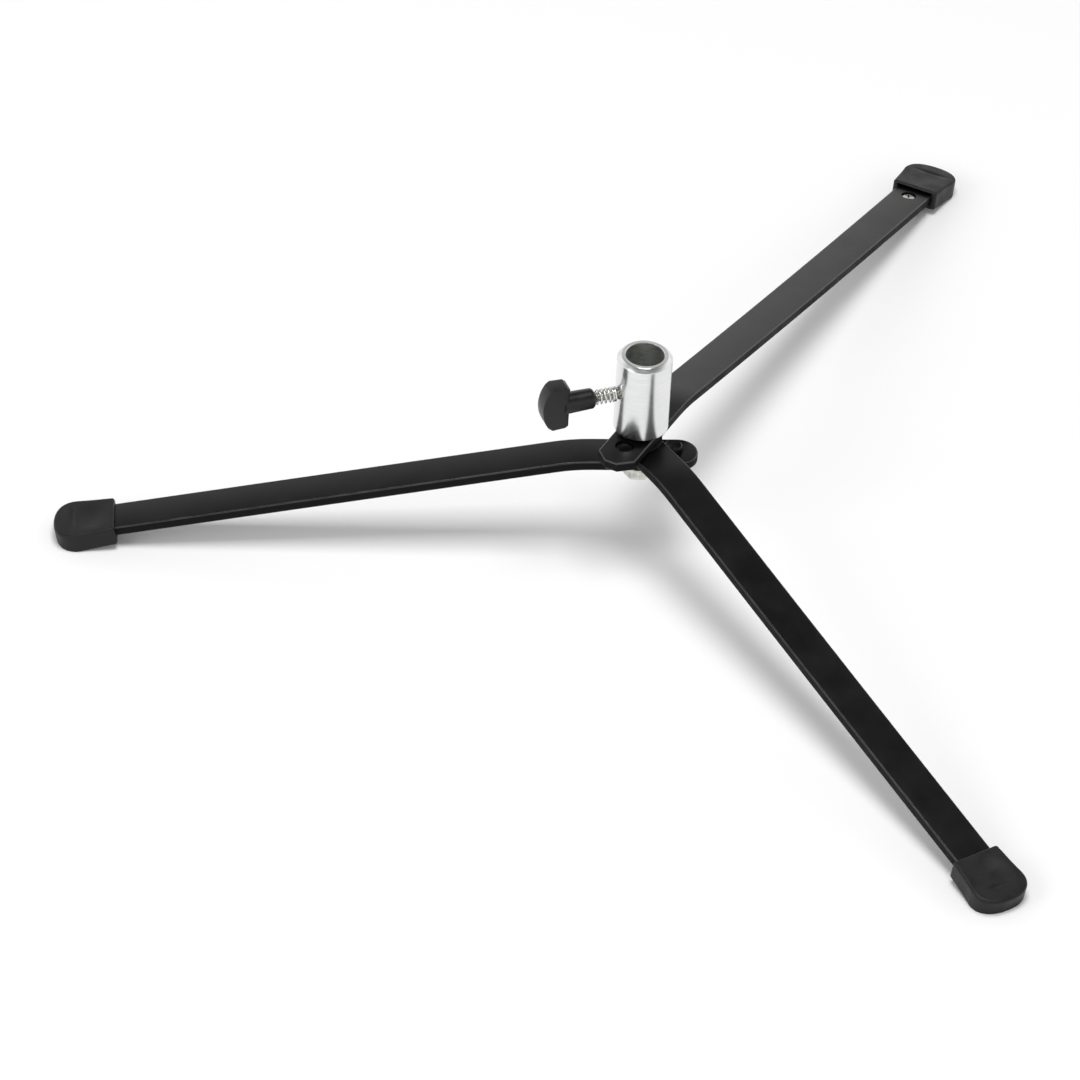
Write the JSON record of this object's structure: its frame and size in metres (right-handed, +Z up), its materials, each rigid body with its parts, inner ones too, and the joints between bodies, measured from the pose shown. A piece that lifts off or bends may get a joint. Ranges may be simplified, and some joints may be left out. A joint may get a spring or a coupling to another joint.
{
  "type": "folding floor stand base",
  "caption": "Low folding stand base: flat arched legs with rubber feet swing on one bolt under a metal socket whose spring-loaded wing screw clamps a 16 mm spigot.",
  "frame": {"origin": "centre of the flat floor of the socket's bore, where a spigot's end rests, on the pivot axis", "axes": "+Z up along the pivot bolt and out of the socket's mouth, +X out along the top leg; the middle leg stands at -120 degrees and the bottom leg at +120 degrees"},
  "size_m": [0.4545, 0.4562, 0.0977],
  "materials": {
    "leg_paint": "satin black powder coat on flat steel bar",
    "foot_rubber": "matt black moulded rubber",
    "zinc_steel": "bright zinc-plated steel",
    "socket_aluminium": "turned and polished bare metal",
    "washer_plastic": "black nylon",
    "knob_plastic": "black moulded plastic with a fine grain",
    "spring_wire": "bright plated spring wire"
  },
  "bodies": {
    "base": {"top_leg": "leg_paint", "top_foot_cap": "foot_rubber", "top_foot_screw": "zinc_steel", "top_stop_pin": "leg_paint", "socket": "socket_aluminium", "socket_washer": "washer_plastic", "upper_friction_washer": "washer_plastic", "lower_friction_washer": "washer_plastic", "head_washer": "zinc_steel", "pivot_bolt": "zinc_steel", "clamp_spring": "spring_wire"},
    "middle": {"middle_leg": "leg_paint", "middle_foot_cap": "foot_rubber", "middle_foot_screw": "zinc_steel"},
    "bottom": {"bottom_leg": "leg_paint", "bottom_foot_cap": "foot_rubber", "bottom_foot_screw": "zinc_steel", "bottom_stop_pin": "leg_paint"},
    "clamp_screw": {"clamp_stud": "zinc_steel"},
    "clamp_wing": {"clamp_knob": "knob_plastic"}
  },
  "joints": [
    {"name": "middle_leg_fold", "type": "hinge", "parent": "base", "child": "middle", "pos_m": [0, 0, -0.0223], "axis": [0, 0, 1], "range_deg": [0, 114]},
    {"name": "bottom_leg_fold", "type": "hinge", "parent": "middle", "child": "bottom", "pos_m": [0, 0, -0.0277], "axis": [0, 0, 1], "range_deg": [0, 114]},
    {"name": "clamp_travel", "type": "slide", "parent": "base", "child": "clamp_screw", "axis": [-0.7431, 0.6691, 0], "range_m": [-0.0029, 0.0025], "deforming": ["clamp_spring"]},
    {"name": "knob_turn", "type": "hinge", "parent": "clamp_screw", "child": "clamp_wing", "pos_m": [-0.0165, 0.01486, 0.0071], "axis": [-0.7431, 0.6691, 0], "range_deg": [-1260, 1080]}
  ],
  "couplings": [
    {"joint": "clamp_travel", "follows": "knob_turn", "m_per_rad": 0.00012732}
  ]
}
